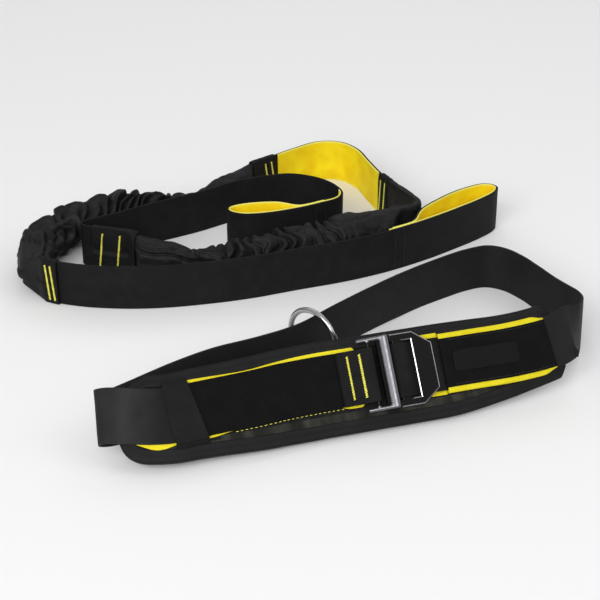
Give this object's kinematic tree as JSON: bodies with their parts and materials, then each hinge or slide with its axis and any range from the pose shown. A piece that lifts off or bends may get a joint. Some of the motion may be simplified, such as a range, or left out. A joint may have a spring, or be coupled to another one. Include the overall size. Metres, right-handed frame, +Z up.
{
  "type": "resistance sprint trainer",
  "caption": "Laid-out resistance sprint trainer: padded waist belt with hooked steel buckle and sliding ring, and a bungee tether in gathered sleeves with webbing loop handles.",
  "frame": {"origin": "centre of the laid-out set's bounding box, on the floor", "axes": "+Z up from the floor, +X to the viewer's right along the padded front of the belt, +Y away from the viewer towards the tether"},
  "size_m": [0.5824, 0.6082, 0.0806],
  "materials": {
    "black_webbing": "woven nylon, matte",
    "yellow_webbing": "woven nylon, matte",
    "black_sleeve": "gathered nylon cloth",
    "yellow_thread": "sewing thread",
    "black_thread": "sewing thread",
    "latex_cord": "covered elastic cord",
    "pad_foam": "closed-cell foam",
    "spacer_mesh": "spacer mesh",
    "pad_cloth": "plain woven cloth",
    "polished_steel": "polished",
    "black_plate": "black coated, satin"
  },
  "bodies": {
    "belt": {"pad_outer_cloth": "pad_cloth", "pad_foam": "pad_foam", "pad_inner_mesh": "spacer_mesh", "pad_edge_binding": "pad_cloth", "yellow_band": "yellow_webbing", "yellow_tunnel": "yellow_webbing", "tunnel_panel": "black_webbing", "badge_patch": "pad_cloth", "keeper_loop": "black_webbing", "keeper_stitches_1": "black_thread", "keeper_stitches_2": "black_thread", "belt_webbing": "black_webbing"},
    "buckle_tongue": {"tongue_webbing": "black_webbing", "tongue_stitches_1": "yellow_thread", "tongue_stitches_2": "yellow_thread", "buckle_frame": "polished_steel"},
    "buckle_hook": {"buckle_plate": "black_plate", "adjuster_webbing": "black_webbing"},
    "ring": {"belt_ring": "polished_steel"},
    "tether": {"centre_strap": "black_webbing", "centre_lining": "yellow_webbing", "centre_cover_1": "black_webbing", "centre_cover_1_stitches_1": "yellow_thread", "centre_cover_1_stitches_2": "yellow_thread", "centre_cover_2": "black_webbing", "centre_cover_2_stitches_1": "yellow_thread", "centre_cover_2_stitches_2": "yellow_thread", "crimp_centre_cover_1": "polished_steel", "crimp_centre_cover_2": "polished_steel", "bungee_1": "latex_cord", "bungee_2": "latex_cord", "sleeve_1": "black_sleeve", "sleeve_2": "black_sleeve"},
    "handle_1": {"handle_strap_1": "black_webbing", "handle_lining_1": "yellow_webbing", "handle_1_stitches_1": "black_thread", "handle_1_stitches_2": "black_thread", "end_cover_1": "black_webbing", "end_cover_1_stitches_1": "yellow_thread", "end_cover_1_stitches_2": "yellow_thread", "crimp_end_cover_1": "polished_steel"},
    "handle_2": {"handle_strap_2": "black_webbing", "handle_lining_2": "yellow_webbing", "handle_2_stitches_1": "black_thread", "handle_2_stitches_2": "black_thread", "end_cover_2": "black_webbing", "end_cover_2_stitches_1": "yellow_thread", "end_cover_2_stitches_2": "yellow_thread", "crimp_end_cover_2": "polished_steel"}
  },
  "joints": [
    {"name": "tongue_lift", "type": "hinge", "parent": "belt", "child": "buckle_tongue", "pos_m": [0.04961, -0.22224, 0.04749], "axis": [0.1866, -0.6221, -0.7604], "range_deg": [0, 75]},
    {"name": "plate_unhook", "type": "slide", "parent": "belt", "child": "buckle_hook", "axis": [0.9578, 0.2873, 0], "range_m": [-0.0025, 0]},
    {"name": "ring_swing", "type": "hinge", "parent": "belt", "child": "ring", "pos_m": [0.0266, -0.12398, 0.03285], "axis": [0, 0, 1], "range_deg": [-45, 45]},
    {"name": "tether_lift", "type": "slide", "parent": "belt", "child": "tether", "axis": [0, 0, 1], "range_m": [0, 0.15]},
    {"name": "handle_1_pull", "type": "slide", "parent": "tether", "child": "handle_1", "axis": [0, 0, 1], "range_m": [0, 0.3], "stiffness_N_per_m": 60, "deforming": ["sleeve_1", "bungee_1"]},
    {"name": "handle_2_pull", "type": "slide", "parent": "tether", "child": "handle_2", "axis": [0, 0, 1], "range_m": [0, 0.3], "stiffness_N_per_m": 60, "deforming": ["sleeve_2", "bungee_2"]}
  ]
}
